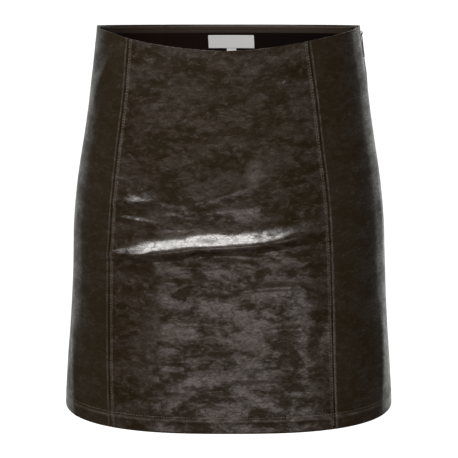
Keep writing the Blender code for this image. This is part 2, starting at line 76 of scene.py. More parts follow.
TAPE_TOP, TAPE_FOOT = 0.0020, 0.1920
CHAIN_TOP, CHAIN_FOOT = 0.0118, 0.1860
NECK_HALF = 0.00055
TOOTH = (0.0009, 0.0029, 0.0014)
TOOTH_TILT = 0.35                       # radians
COIL_AWAY, COIL_BEHIND = 0.0011, 0.00075
METRES_PER_DEGREE = 0.0027              # of the mean girth, for the cloth's map
DEGREES_PER_METRE = 450                 # more than a metre of any girth spans

Section = namedtuple("Section", "drop left right front back power")
SECTIONS = tuple(map(Section._make, (
    (0.000, 0.1448, 0.1428, 0.1000, 0.1040, 2.15),
    (0.015, 0.1467, 0.1450, 0.1015, 0.1055, 2.18),
    (0.037, 0.1491, 0.1487, 0.1035, 0.1080, 2.20),
    (0.060, 0.1521, 0.1523, 0.1060, 0.1110, 2.25),
    (0.082, 0.1546, 0.1549, 0.1080, 0.1135, 2.28),
    (0.104, 0.1578, 0.1580, 0.1100, 0.1157, 2.31),
    (0.127, 0.1616, 0.1616, 0.1122, 0.1178, 2.34),
    (0.150, 0.1656, 0.1655, 0.1141, 0.1198, 2.38),
    (0.172, 0.1688, 0.1686, 0.1157, 0.1212, 2.42),
    (0.195, 0.1714, 0.1712, 0.1172, 0.1222, 2.46),
    (0.218, 0.1732, 0.1731, 0.1186, 0.1229, 2.50),
    (0.241, 0.1738, 0.1738, 0.1198, 0.1233, 2.52),
    (0.270, 0.1746, 0.1750, 0.1212, 0.1238, 2.54),
    (0.300, 0.1763, 0.1763, 0.1225, 0.1244, 2.56),
    (0.333, 0.1785, 0.1783, 0.1240, 0.1250, 2.58),
    (0.370, 0.1819, 0.1812, 0.1256, 0.1257, 2.60),
    (0.404, 0.1842, 0.1836, 0.1272, 0.1262, 2.60),
    (0.430, 0.1856, 0.1849, 0.1281, 0.1266, 2.60),
)))

FrontSeam = namedtuple("FrontSeam", "drop left right")
FRONT_SEAMS = tuple(map(FrontSeam._make, (
    (0.000, -0.1072, 0.0836),
    (0.025, -0.1091, 0.0873),
    (0.050, -0.1110, 0.0907),
    (0.075, -0.1135, 0.0940),
    (0.100, -0.1169, 0.0969),
    (0.125, -0.1202, 0.1000),
    (0.150, -0.1230, 0.1034),
    (0.175, -0.1255, 0.1062),
    (0.200, -0.1274, 0.1081),
    (0.225, -0.1290, 0.1094),
    (0.250, -0.1299, 0.1105),
    (0.285, -0.1304, 0.1117),
    (0.320, -0.1307, 0.1126),
    (0.355, -0.1309, 0.1135),
    (0.390, -0.1304, 0.1148),
    (0.410, -0.1300, 0.1157),
    (0.430, -0.1294, 0.1167),
)))

EdgePoint = namedtuple("EdgePoint", "across drop")
FRONT_EDGE = tuple(map(EdgePoint._make, (
    (-0.1460, -0.0014),
    (-0.1385, -0.0014),
    (-0.1250, -0.0002),
    (-0.1070, 0.0034),
    (-0.0870, 0.0061),
    (-0.0650, 0.0086),
    (-0.0420, 0.0107),
    (-0.0180, 0.0123),
    (0.0000, 0.0128),
    (0.0270, 0.0117),
    (0.0440, 0.0101),
    (0.0620, 0.0081),
    (0.0820, 0.0057),
    (0.1020, 0.0029),
    (0.1240, 0.0000),
    (0.1385, -0.0013),
    (0.1460, -0.0014),
)))

# A fold runs through three places. Upper is its width above them, or at the right of one
# that runs down, and a negative height is a trough.
Fold = namedtuple("Fold", "name start middle end height upper lower")


def in_metres(name, start, middle, end, height, upper, lower):
    """A fold whose drops, height and widths are given in millimetres."""
    places = [(turn, drop / 1000) for turn, drop in (start, middle, end)]
    return Fold(name, *places, height / 1000, upper / 1000, lower / 1000)


FOLDS = tuple(in_metres(*row) for row in (
    ("belly_ridge_a", (-51, 240.0), (-26, 228.5), (0, 220.0), 5.2, 11.2, 6.0),
    ("belly_ridge_b", (-18, 220.0), (9, 220.0), (41, 201.5), 5.4, 11.6, 6.5),
    ("belly_hollow", (-44, 244.0), (-12, 230.5), (24, 222.5), -1.2, 4.0, 8.0),
    ("under_belly", (-34, 237.5), (-12, 235.0), (8, 237.5), 1.0, 4.0, 8.0),
    ("belly_tail", (-40, 238.0), (-33, 240.0), (-27, 245.0), 1.0, 5.0, 5.0),
    ("left_pad", (-52, 181.5), (-39, 176.0), (-22, 171.5), 2.1, 7.6, 4.5),
    ("drag_ridge", (-38, 183.5), (-12, 171.5), (14, 150.0), 0.9, 5.5, 5.0),
    ("lower_drag", (-47, 192.0), (-33, 186.5), (-6, 194.5), -1.0, 6.0, 6.0),
    ("middle_swell", (-22, 187.0), (-4, 182.0), (18, 178.0), 1.2, 10.0, 8.0),
    ("right_drag", (25, 192.5), (33, 193.5), (43, 200.0), -1.0, 7.0, 5.0),
    ("right_ridge", (26, 242.0), (34, 238.0), (42, 232.0), 1.2, 7.0, 5.0),
    ("left_diagonal", (-49, 298.0), (-44, 311.0), (-38, 330.0), 1.3, 8.0, 5.0),
    ("right_diagonal", (40, 304.0), (36, 324.0), (33, 347.0), -1.4, 7.0, 7.0),
    ("waist_pucker", (-53, 12.0), (-64, 40.0), (-74, 86.0), 2.2, 8.0, 10.0),
    ("left_edge_flute", (-73, 310.0), (-69, 370.0), (-65, 430.0), 1.3, 10.0, 9.0),
    ("right_edge_flute", (71, 285.0), (69, 350.0), (64, 430.0), 1.2, 9.0, 10.0),
    ("right_hip_flute", (74, 160.0), (75, 210.0), (73, 265.0), 0.9, 9.0, 8.0),
    ("centre_low_swell", (-20, 335.0), (0, 348.0), (19, 342.0), 1.0, 16.0, 13.0),
    ("back_seat_a", (138, 234.0), (168, 244.0), (196, 238.0), 1.8, 15.0, 9.0),
    ("back_seat_b", (176, 262.0), (202, 268.0), (228, 256.0), 1.4, 12.0, 8.0),
    ("back_hollow", (150, 72.0), (182, 79.0), (209, 70.0), -1.2, 14.0, 16.0),
    ("back_flute", (162, 316.0), (158, 370.0), (153, 430.0), 1.3, 12.0, 10.0),
))

# Creases too small for the solids.
CREASES = tuple(in_metres(*row) for row in (
    ("top_nick", (-33, 35.0), (-30, 40.0), (-27, 48.0), -0.6, 3.0, 3.0),
    ("top_nick_low", (-35, 66.0), (-34, 69.0), (-32, 72.0), -0.5, 3.0, 3.0),
    ("seam_pucker", (-47, 38.0), (-45, 52.0), (-43, 70.0), -0.6, 4.0, 4.0),
    ("right_nick", (23, 48.0), (25, 44.0), (27, 39.0), -0.6, 4.0, 3.0),
    ("belly_point", (-52, 235.0), (-44, 233.0), (-31, 230.5), 1.6, 4.0, 4.0),
    ("pad_line_a", (-47, 179.0), (-38, 176.5), (-27, 175.0), 0.6, 2.5, 2.0),
    ("pad_line_b", (-46, 184.5), (-36, 183.0), (-20, 188.5), 0.5, 2.2, 2.2),
    ("pad_line_c", (-51, 194.5), (-40, 195.5), (-24, 200.5), 1.0, 3.0, 3.5),
    ("pad_line_d", (-52, 153.0), (-47, 153.7), (-41, 155.0), 0.7, 2.6, 2.6),
    ("belly_line_a", (-38, 206.5), (-24, 203.0), (-11, 204.0), 0.4, 2.2, 2.0),
    ("belly_line_b", (-33, 241.0), (-14, 243.5), (6, 241.5), 0.4, 2.2, 2.6),
    ("belly_line_c", (2, 232.0), (14, 229.0), (26, 230.0), 0.6, 2.5, 2.8),
    ("low_line_a", (-36, 256.0), (-20, 262.0), (-2, 260.0), 0.5, 4.0, 3.0),
    ("low_line_b", (4, 272.0), (18, 266.0), (36, 269.0), 0.6, 4.0, 3.0),
    ("low_line_c", (-44, 284.0), (-30, 288.0), (-18, 286.0), -0.5, 3.5, 3.5),
    ("low_line_d", (-28, 308.0), (-12, 306.0), (10, 311.0), 0.5, 4.5, 3.5),
    ("low_line_e", (14, 316.0), (24, 312.0), (34, 315.0), 0.5, 4.0, 3.0),
    ("low_line_f", (-40, 344.0), (-26, 348.0), (-12, 346.0), 0.6, 4.0, 3.0),
    ("low_line_g", (-6, 370.0), (12, 366.0), (30, 370.0), 0.5, 5.0, 4.0),
    ("low_line_h", (-38, 384.0), (-22, 380.0), (-6, 386.0), 0.5, 5.0, 4.0),
    ("right_short_a", (22, 150.0), (30, 147.0), (40, 149.0), 0.5, 4.0, 3.0),
    ("right_short_b", (28, 214.0), (35, 212.0), (43, 215.0), -0.5, 3.5, 3.0),
    ("back_line_a", (142, 218.0), (160, 223.0), (178, 220.0), 0.5, 5.0, 4.0),
    ("back_line_b", (186, 248.0), (200, 250.0), (216, 244.0), -0.5, 4.0, 4.0),
    ("back_line_c", (196, 300.0), (212, 306.0), (226, 303.0), 0.5, 6.0, 5.0),
    ("back_line_d", (150, 345.0), (170, 350.0), (190, 347.0), 0.4, 6.0, 5.0),
    ("hip_line_a", (102, 180.0), (110, 186.0), (120, 185.0), 0.5, 5.0, 4.0),
    ("hip_line_b", (-120, 190.0), (-112, 187.0), (-103, 189.0), 0.5, 5.0, 4.0),
))

DARTS = (146.0, 214.0)
DART_DEPTH, DART_FADE = 0.1100, 0.0350
STITCH_IN = 0.0025      # from a front seam to its row of stitches
HEM_ROW = 0.0180        # from the hem up to its row of stitches
WAIST_ROW = 0.0022      # from the waist's edge down to the facing's row of stitches
BORDER = 0.0085         # width of the facing's coated upper border
ALLOWANCE = 0.0090      # at each side of a seam, pressed flat
ALLOWANCE_THICK = 0.0008
STAY_THICK = 0.00014    # of the stay between a panel and its facing
CLOSE = (0.0, 0.0004, 0.0009, 0.0015, 0.0022, 0.0030, 0.0040)   # rows beside an edge

# How far the cloth stands out at a distance from a line.
Ridge = namedtuple("Ridge", "at width height")
SEAM_GROOVE = Ridge(0.0, 0.0008, -0.00030)
DART_GROOVE = Ridge(0.0, 0.0018, -0.00080)
ZIP_LIP = Ridge(0.0045, 0.0013, 0.00090)
ZIP_LIP_FOOT, ZIP_LIP_FADE = 0.070, 0.020
STITCH_RIDGES = (
    Ridge(STITCH_IN, 0.0006, -0.00020),
    Ridge(STITCH_IN - 0.0012, 0.0006, 0.00014),
    Ridge(0.0042, 0.0012, 0.00022),
    Ridge(-0.0022, 0.0011, 0.00020),
)
HEM_RIDGES = (
    Ridge(HEM_ROW, 0.0008, -0.00022),
    Ridge(HEM_ROW - 0.0035, 0.0022, 0.00018),
)


def raised(away, *ridges):
    """The height of ridges and grooves at a distance from their line."""
    return sum(r.height * np.exp(-((away - r.at) / r.width) ** 2) for r in ridges)


def unit(vectors):
    return vectors / np.linalg.norm(vectors, axis=-1, keepdims=True)


def wrapped(turn):
    """A turn between -180 and 180."""
    return (turn + 180) % 360 - 180


def eased(value, start, run):
    """0 at start, 1 after a run, and smooth between."""
    t = np.clip((value - start) / run, 0, 1)
    return t * t * (3 - 2 * t)


def smooth(values, reach):
    """Soften a row of evenly spaced values over reach places at each side."""
    window = np.hanning(2 * reach + 3)[1:-1]
    window /= window.sum()
    padded = np.concatenate([
        2 * values[0] - values[reach:0:-1],
        values,
        2 * values[-1] - values[-2:-reach - 2:-1],
    ])
    return np.convolve(padded, window, mode="valid")


def column(rows, name, drops):
    """One column of a table at every drop, with the corners softened."""
    at = [row.drop for row in rows]
    return smooth(np.interp(drops, at, [getattr(row, name) for row in rows]), 7)


class Form:
    """The surface that every piece is laid on, with the solids' sections and folds."""

    def __init__(self):
        self.drops = np.arange(-0.010, 0.4381, 0.002)
        self.turns = np.arange(-360.0, 360.01, 0.5)
        table = {name: column(SECTIONS, name, self.drops) for name in Section._fields[1:]}
        seams = {name: column(FRONT_SEAMS, name, self.drops) for name in ("left", "right")}
        self.x, self.y = np.zeros((2, len(self.drops), len(self.turns)))
        self.girth = np.zeros(len(self.drops))
        self.marks = {name: np.zeros(len(self.drops))
                      for name in ("side_left", "front_left", "front_right", "side_right")}
        angle = np.linspace(-1.5 * math.pi, 0.5 * math.pi, 2881)
        c, s = np.cos(angle), np.sin(angle)
        front = (angle >= -math.pi - 1e-9) & (angle <= 1e-9)
        for i in range(len(self.drops)):
            power = 2 / table["power"][i]
            wide = np.where(c < 0, table["left"][i], table["right"][i])
            deep = np.where(s < 0, table["front"][i], table["back"][i])
            x = wide * np.sign(c) * np.abs(c) ** power
            y = deep * np.sign(s) * np.abs(s) ** power
            run = np.concatenate([[0.0], np.cumsum(np.hypot(np.diff(x), np.diff(y)))])
            self.girth[i] = run[-1]
            middle = np.interp(-0.5 * math.pi, angle, run)
            turn = (run - middle) * 360 / run[-1]
            whole = np.concatenate([turn[:-1] - 360, turn, turn[1:] + 360])
            self.x[i] = np.interp(self.turns, whole, np.concatenate([x[:-1], x, x[1:]]))
            self.y[i] = np.interp(self.turns, whole, np.concatenate([y[:-1], y, y[1:]]))
            self.marks["side_left"][i] = np.interp(-math.pi, angle, turn)
            self.marks["side_right"][i] = np.interp(0.0, angle, turn)
            for side in ("left", "right"):
                at = np.interp(seams[side][i], x[front], turn[front])
                self.marks["front_" + side][i] = at

    def mark(self, name, drop):
        """The turn of a seam at a drop."""
        return np.interp(drop, self.drops, self.marks[name])

    def degrees(self, length, drop):
        """A length round the skirt as degrees of turn."""
        return length * 360 / np.interp(drop, self.drops, self.girth)

    def base(self, turn, drop):
        """The place before folds, blended smoothly between the table's rows."""
        row = np.clip((drop - self.drops[0]) / 0.002, 0, len(self.drops) - 1.001)
        col = np.clip((turn - self.turns[0]) / 0.5, 0, len(self.turns) - 1.001)
        i, j = row.astype(int), col.astype(int)
        a, b = row - i, col - j
        found = []
        for grid in (self.x, self.y):
            upper = grid[i, j] * (1 - b) + grid[i, j + 1] * b
            lower = grid[i + 1, j] * (1 - b) + grid[i + 1, j + 1] * b
            found.append(upper * (1 - a) + lower * a)
        return np.stack([found[0], found[1], -drop], -1)

    def seam_relief(self, turn, drop):
        """Edges roll into each front and side seam, and sink under a row of stitches."""
        scale = np.interp(drop, self.drops, self.girth) / 360
        total = np.zeros(turn.shape)
        for name, stitched in (("front_left", 1), ("front_right", -1),
                               ("side_left", 0), ("side_right", 0)):
            away = wrapped(turn - self.mark(name, drop)) * scale
            total += raised(away, SEAM_GROOVE)
            if name == "side_right":
                share = np.clip((ZIP_LIP_FOOT - drop) / ZIP_LIP_FADE, 0, 1)
                total += share * raised(np.abs(away), ZIP_LIP)
            if stitched:
                total += raised(away * stitched, *STITCH_RIDGES)
        return total

    def hem_relief(self, turn, drop):
        """The cloth sinks along the hem's stitches and swells over the turned edge."""
        return raised(self.hem_edge(turn) - drop, *HEM_RIDGES)

    def fold_height(self, turn, drop):
        """How far folds, creases, darts and seams push the cloth out at a place."""
        turn = wrapped(turn)
        scale = np.interp(drop, self.drops, self.girth) / 360
        total = self.seam_relief(turn, drop) + self.hem_relief(turn, drop)
        for fold in FOLDS + CREASES:
            t = np.linspace(0, 1, 15)[:, None]
            start, end = np.array(fold.start), np.array(fold.end)
            bend = 2 * np.array(fold.middle) - (start + end) / 2
            line = (1 - t) ** 2 * start + 2 * t * (1 - t) * bend + t ** 2 * end
            reach = 3 * max(fold.upper, fold.lower)
            middle = (line[:, 0].max() + line[:, 0].min()) / 2
            spread = np.ptp(line[:, 0]) / 2 + reach * DEGREES_PER_METRE
            near = np.abs(wrapped(turn - middle)) < spread
            near &= drop > line[:, 1].min() - reach
            near &= drop < line[:, 1].max() + reach
            if not near.any():
                continue
            tn, dn, sn = turn[near], drop[near], scale[near]
            best = np.full(tn.shape, 1e9)
            height = np.zeros(tn.shape)
            for k in range(len(line) - 1):
                px = wrapped(tn - line[k, 0]) * sn
                py = dn - line[k, 1]
                dx = (line[k + 1, 0] - line[k, 0]) * sn
                dy = line[k + 1, 1] - line[k, 1]
                along = np.clip((px * dx + py * dy) / (dx * dx + dy * dy), 0, 1)
                far = np.hypot(px - along * dx, py - along * dy)
                side = np.where(px * dy - py * dx >= 0, fold.upper, fold.lower)
                fade = np.sin(np.pi * (k + along) / (len(line) - 1)) ** 0.8
                value = fold.height * fade * np.exp(-(far / side) ** 2)
                height = np.where(far < best, value, height)
                best = np.minimum(best, far)
            total[near] += height
        for dart in DARTS:
            share = np.clip((DART_DEPTH - drop) / DART_FADE, 0, 1)
            total += share * raised(wrapped(turn - dart) * scale, DART_GROOVE)
        return total

    def place(self, turn, drop, lift):
        """A place moved off the outer face along the face's normal, and that normal."""
        turn, drop, lift = np.broadcast_arrays(turn, drop, lift)
        along = self.base(turn + 0.5, drop) - self.base(turn - 0.5, drop)
        out = unit(np.stack([along[..., 1], -along[..., 0], 0 * along[..., 0]], -1))
        spot = self.base(turn, drop) + out * self.fold_height(turn, drop)[..., None]
        along = self.base(turn + 0.6, drop) - self.base(turn - 0.6, drop)
        down = self.base(turn, drop + 0.002) - self.base(turn, drop - 0.002)
        normal = unit(np.cross(down, along))
        return spot + normal * lift[..., None], normal

    def waist_edge(self, turn):
        """The drop of the waist's edge."""
        place = self.base(turn, np.full(np.shape(turn), 0.008))
        front = np.interp(place[..., 0], [p.across for p in FRONT_EDGE],
                          [p.drop for p in FRONT_EDGE])
        back = np.interp(place[..., 1], (0, BACK_HALF), (-SIDE_RISE, BACK_DIP))
        return np.where(place[..., 1] < 0, front, back)

    def hem_edge(self, turn):
        """The drop of the hem's lowest line."""
        place = self.base(turn, np.full(np.shape(turn), 0.42))
        return HEM_DROP + HEM_DIP * (1 - np.clip(place[..., 0] / HEM_HALF, -1, 1) ** 4)


FORM = Form()


# ---------------------------------------------------------------- settings

def measure(name, description, default, **more):
    return FloatProperty(name=name, description=description, default=default,
                         unit="LENGTH", **more)


class SkirtSizes(bpy.types.PropertyGroup):
    """Sizes that a user would change."""

    cell: measure("Cell", "Size of one face of a shell", 0.0020, min=0.0012)
    stitch_pitch: measure("Stitch pitch", "Length of one stitch with its space", 0.0031)
    thread: measure("Thread", "Diameter of the sewing thread", 0.00042)
    crackle: measure("Crackle", "Width of a cell of the crackled coat", 0.0075)
    coil_pitch: measure("Coil pitch", "From one zip tooth to the next", 0.0014)


def colour(name, description, default):
    return FloatVectorProperty(name=name, description=description, default=default,
                               subtype="COLOR", size=3, min=0, max=1)


class SkirtColours(bpy.types.PropertyGroup):
    """Colours that a user would change, linear."""

    dark: colour("Dark", "Base of the coat", (0.0064, 0.0042, 0.0013))
    # warm also colours the front's spots of painted sheen.
    warm: colour("Warm", "Rubbed patches of the coat", (0.0175, 0.0120, 0.0088))
    # pale also paints the highlight on raised seam edges and on the front's spots of painted
    # sheen.
    pale: colour("Pale", "Edges of the crackle", (0.060, 0.051, 0.044))
    inside: colour("Inside", "Backing and facings", (0.0048, 0.0020, 0.0012))
    thread: colour("Thread", "Sewing thread", (0.125, 0.106, 0.080))
    # The label's grey is a white label darkened as painted shade for its place inside the waist.
    label: colour("Label", "Woven label and tab", (0.33, 0.325, 0.32))
    zipper: colour("Zip", "Zip tape, coil, slider and pull", (0.012, 0.011, 0.010))


# ---------------------------------------------------------------- shader maths

def maths(operation, swapped=False):
    """A method of Value that adds a Math node."""
    def method(self, other):
        first, second = (other, self) if swapped else (self, other)
        return self.graph.node("ShaderNodeMath", {"operation": operation},
                               {0: first, 1: second})
    return method


class Value:
    """A shader output that takes part in Python arithmetic."""

    def __init__(self, graph, socket):
        self.graph = graph
        self.socket = socket

    __add__ = __radd__ = maths("ADD")
    __mul__ = __rmul__ = maths("MULTIPLY")
    __sub__ = maths("SUBTRACT")
    __rsub__ = maths("SUBTRACT", swapped=True)


class Graph:
    """The nodes of one material."""

    def __init__(self, name):
        self.material = bpy.data.materials.new(name)
        self.material.use_nodes = True
        self.tree = self.material.node_tree
        self.shader = self.tree.nodes["Principled BSDF"]

    def node(self, kind, settings=None, values=None, out=0):
        """Add a node: settings first, then its sockets' values or links."""
        made = self.tree.nodes.new(kind)
        for name, value in (settings or {}).items():
            setattr(made, name, value)
        self.fill(made, values or {})
        return Value(self, made.outputs[out])

    def fill(self, made, values):
        for name, value in values.items():
            socket = made.inputs[name]
            if isinstance(value, Value):
                self.tree.links.new(value.socket, socket)
            else:
                socket.default_value = value

    def step(self, value, low, high):
        """0 below low, 1 above high, and smooth between."""
        return self.node("ShaderNodeMapRange", {"interpolation_type": "SMOOTHSTEP"},
                         {0: value, 1: low, 2: high, 3: 0.0, 4: 1.0})

    def mix(self, share, first, second):
        """Blend two colours."""
        first, second = [c if isinstance(c, Value) else (*c, 1) for c in (first, second)]
        return self.node("ShaderNodeMix", {"data_type": "RGBA"},
                         {0: share, 6: first, 7: second}, 2)

    def noise(self, vector, scale, detail=2.0, rough=0.5, distortion=0.0, out=0):
        return self.node("ShaderNodeTexNoise", None, {
            "Vector": vector, "Scale": scale, "Detail": detail, "Roughness": rough,
            "Distortion": distortion}, out)

    def stretched(self, vector, scale, shift=(0.0, 0.0, 0.0)):
        return self.node("ShaderNodeMapping", None,
                         {"Vector": vector, "Scale": scale, "Location": shift})

    def contour(self, value, at, half):
        """1 along the line where value is at, falling to 0 half away from it."""
        return 1 - self.step(self.node("ShaderNodeMath", {"operation": "ABSOLUTE"},
                                       {0: value - at}), 0.0, half)

    def bump(self, height, depth):
        return self.node("ShaderNodeBump", None,
                         {"Strength": 1.0, "Distance": depth, "Height": height})

    def cracks(self, vector):
        """Distance from the edges of cells one unit wide."""
        return self.node("ShaderNodeTexVoronoi", {"feature": "DISTANCE_TO_EDGE"},
                         {"Vector": vector, "Scale": 1.0, "Randomness": 1.0})

    def place(self):
        """The place on the object, in metres."""
        return self.node("ShaderNodeTexCoord", out=3)


def cloth_map(graph):
    """The piece's own map: across and down the cloth, in metres."""
    return graph.node("ShaderNodeUVMap", {"uv_map": "cloth"})


# Spots on the front with paler colour and more coat, a painted highlight and sheen, or with darker
# colour and less coat, painted shade, where the strength is negative.
SheenSpot = namedtuple("SheenSpot", "across down wide tall strength")
FRONT_SHEEN_SPOTS = tuple(map(SheenSpot._make, (
    (0.024, 0.146, 0.014, 0.022, 1.00),
    (-0.020, 0.217, 0.095, 0.022, 0.90),
    (0.062, 0.203, 0.028, 0.018, -0.55),
    (-0.095, 0.172, 0.030, 0.010, 0.10),
    (0.060, 0.020, 0.045, 0.018, 0.25),
    (-0.020, 0.030, 0.030, 0.016, 0.25),
    (0.030, 0.300, 0.060, 0.030, 0.15),
    (-0.075, 0.310, 0.016, 0.010, 0.30),
    (-0.084, 0.350, 0.022, 0.040, 0.40),
    (0.092, 0.335, 0.015, 0.040, 0.35),
)))


def crackled_leather(name, dark, warm, pale, cell, wear, sheen_spots=()):
    """Glossy faux leather: olive and mauve patches, fine mottling and a crackled coat.

    wear is how far the patches and the crackle stand out. The listed spots are places of painted
    highlight and sheen, or of painted shade where their strength is negative.
    """
    g = Graph(name)
    uv = cloth_map(g)
    wobble = g.noise(uv, 55.0, 3.0, 0.6, out=1)
    bent = g.node("ShaderNodeVectorMath", {"operation": "MULTIPLY_ADD"},
                  {0: wobble, 1: (0.010, 0.006, 0.0), 2: uv})
    cracks = g.cracks(g.stretched(bent, (1.0 / cell, 2.1 / cell, 1.0)))
    fine = g.cracks(g.stretched(bent, (2.9 / cell, 4.6 / cell, 1.0), (3.1, 1.7, 0.0)))
    broad = g.noise(g.stretched(bent, (20.0, 42.0, 1.0)), 1.0, 4.0, 0.6)
    mottle = g.noise(g.stretched(bent, (90.0, 150.0, 1.0), (4.0, 9.0, 0.0)), 1.0, 5.0, 0.7, 0.6)
    streak = g.noise(g.stretched(bent, (75.0, 210.0, 1.0)), 1.0, 5.0, 0.65, 1.0)
    grain = g.noise(g.stretched(uv, (900.0, 1150.0, 1.0)), 1.0, 3.0, 0.6)
    line = 1 - g.step(cracks, 0.015, 0.13)
    hair = 1 - g.step(fine, 0.01, 0.16)
    patches = g.step(broad, 0.38, 0.62)
    blots = g.step(mottle, 0.34, 0.68)
    wiped = g.step(streak, 0.42, 0.66)
    share = patches * 0.50 + blots * 0.36 + wiped * 0.14
    painted_sheen = 0.0
    # Each spot adds painted highlight and sheen, or painted shade with a negative strength: paler
    # or darker colour, and more or less coat.
    for sheen_spot in sheen_spots:
        away = g.node("ShaderNodeVectorMath", {"operation": "LENGTH"}, {
            0: g.stretched(bent, (1 / sheen_spot.wide, 1 / sheen_spot.tall, 1.0),
                           (-sheen_spot.across / sheen_spot.wide, -sheen_spot.down / sheen_spot.tall, 0.0))}, out=1)
        patch = (1 - g.step(away, 0.1, 1.0)) * (0.4 + blots * 0.6) * sheen_spot.strength
        share = share + patch
        painted_sheen = painted_sheen + patch
    share = share * wear + 0.5 * (1 - wear)
    curl = g.noise(g.stretched(bent, (95.0, 130.0, 1.0), (7.0, 2.0, 0.0)), 1.0, 3.0, 0.6, 1.4)
    fleck = g.contour(streak, 0.52, 0.030) * g.step(mottle, 0.48, 0.62)
    crease = g.contour(curl, 0.50, 0.030) * g.step(broad, 0.38, 0.58)
    tone = g.mix(share, dark, warm)
    # Painted highlight: the colour at the spots turns towards pale.
    if sheen_spots:
        tone = g.mix(g.step(painted_sheen, 0.0, 1.2) * 0.55, tone, pale)
    tone = g.mix(fleck * (0.42 * wear), tone, pale)
    tone = g.mix(crease * (0.50 * wear), tone, tuple(c * 0.4 for c in dark))
    tone = g.mix(line * (1 - wiped) * (0.35 * wear), tone, tuple(c * 0.55 for c in dark))
    # Painted highlight and painted shade: the colour is paler where seams and the hem's turn push
    # the cloth out, and darker in the grooves of seams and stitches, where the coat is also
    # thinner.
    lie = g.node("ShaderNodeAttribute", {"attribute_name": "relief"}, out=2)
    painted_groove_shade = g.step(lie * -1, 0.06, 0.30)
    painted_ridge_highlight = g.step(lie, 0.05, 0.20)
    tone = g.mix(painted_ridge_highlight * (0.15 + blots * 0.35), tone, pale)
    tone = g.mix(painted_groove_shade * 0.6, tone, tuple(c * 0.25 for c in dark))
    relief = streak * 0.44 + mottle * 0.22 + broad * 0.24
    relief = relief + line * -0.06 + hair * -0.02 + grain * 0.03
    rough = 0.34 - share * 0.10 + hair * 0.04 + grain * 0.03
    coat = g.step(share, 0.14, 0.86) * 0.84 + 0.08
    g.fill(g.shader, {
        "Base Color": tone,
        "Roughness": rough,
        "Specular IOR Level": 0.02,
        "Coat Weight": coat * (1 - line * 0.4) * (1 - crease * 0.45) * (1 - painted_groove_shade * 0.8),
        "Coat Roughness": 0.20,
        "Coat IOR": 1.5,
        "Normal": g.bump(relief, 0.00040),
        "IOR": 1.5,
    })
    return g.material


def woven(name, shade, thread, roughness, depth, level=0.5, fade=0.0, coated=None):
    """Plain weave seen as crossing threads.

    fade darkens the colour towards +X, the zip's side, as painted shade. coated is the colour of a
    glossy border at its top.
    """
    g = Graph(name)
    uv = cloth_map(g)
    warp, weft = [
        g.node("ShaderNodeTexWave", {"wave_type": "BANDS", "bands_direction": way},
               {"Vector": uv, "Scale": 1.0 / thread / 3.1416, "Distortion": 0.3,
                "Detail": 1.0, "Detail Scale": 3.0}) for way in "XY"]
    fleck = g.noise(uv, 600.0, 3.0)
    weave = warp * 0.5 + weft * 0.5
    dark = tuple(c * 0.78 for c in shade)
    tone = g.mix(weave * 0.7 + fleck * 0.3, dark, shade)
    # Painted shade: the colour darkens towards +X, the zip's side of the inside.
    if fade:
        across = g.node("ShaderNodeSeparateXYZ", None, {"Vector": g.place()})
        tone = g.mix(g.step(across, -0.10, 0.09) * fade, tone, (0, 0, 0))
    if coated:
        down = g.node("ShaderNodeSeparateXYZ", None, {"Vector": uv}, 1)
        border = 1 - g.step(down, BORDER - 0.0008, BORDER + 0.0008)
        tone = g.mix(border * (0.55 + fleck * 0.5), tone, coated)
        g.fill(g.shader, {"Coat Weight": border * 0.8, "Coat Roughness": 0.3})
    g.fill(g.shader, {
        "Base Color": tone,
        "Roughness": roughness - weave * 0.08,
        "Normal": g.bump(weave + fleck * 0.3, depth),
        "Specular IOR Level": level,
        "IOR": 1.45,
    })
    return g.material


def lacquer(name, shade, roughness):
    """Painted metal or moulded coil, with faint wear."""
    g = Graph(name)
    wear = g.noise(g.place(), 900.0, 3.0)
    lift = tuple(min(1.0, c * 2.2) for c in shade)
    g.fill(g.shader, {
        "Base Color": g.mix(g.step(wear, 0.55, 0.80), shade, lift),
        "Roughness": roughness + wear * 0.10,
        "Specular IOR Level": 0.04,
        "Normal": g.bump(wear, 0.00003),
        "IOR": 1.5,
    })
    return g.material


def spun(name, shade):
    """Twisted sewing thread."""
    g = Graph(name)
    fibre = g.noise(g.place(), 2600.0, 2.0)
    g.fill(g.shader, {
        "Base Color": g.mix(fibre, tuple(c * 0.6 for c in shade), shade),
        "Roughness": 0.7 + fibre * 0.1,
        "Specular IOR Level": 0.15,
        "Normal": g.bump(fibre, 0.00005),
    })
    return g.material


# ---------------------------------------------------------------- making pieces

def deselect():
    for thing in bpy.context.selected_objects:
        thing.select_set(False)


def apply_all(thing):
    deselect()
    thing.select_set(True)
    bpy.context.view_layer.objects.active = thing
    for modifier in list(thing.modifiers):
        bpy.ops.object.modifier_apply(modifier=modifier.name)


def steps(length, cell, close=()):
    """Distances from 0 to length about a cell apart, with extra close ones at each end."""
    even = np.linspace(0, length, max(2, round(length / cell)) + 1)
    ends = [c for c in close if c < length / 2]
    inner = [d for d in even if not ends or ends[-1] + cell / 2 < d < length - ends[-1] - cell / 2]
    return np.array(sorted(set(ends) | {length - c for c in ends} | set(inner)))


def between(left, right, shares):
    """Column lines between two lines, at the given shares of the way."""
    return [lambda drop, share=share: left(drop) * (1 - share) + right(drop) * share
            for share in shares]


def beside(name, shift, round_trip=0.0):
    """A line shift metres from a seam, towards larger turns."""
    return lambda drop: FORM.mark(name, drop) + FORM.degrees(shift, drop) + round_trip


def seam_opening(drop):
    """Half the space between the two edges at the zip, parted where the neck comes out."""
    return GAP / 2 + (NECK_HALF + GAP / 2) * (1 - eased(drop, 0.010, 0.014))


def zip_edge(side):
    return lambda drop: (FORM.mark("side_right", drop)
                         + side * FORM.degrees(seam_opening(drop), drop))


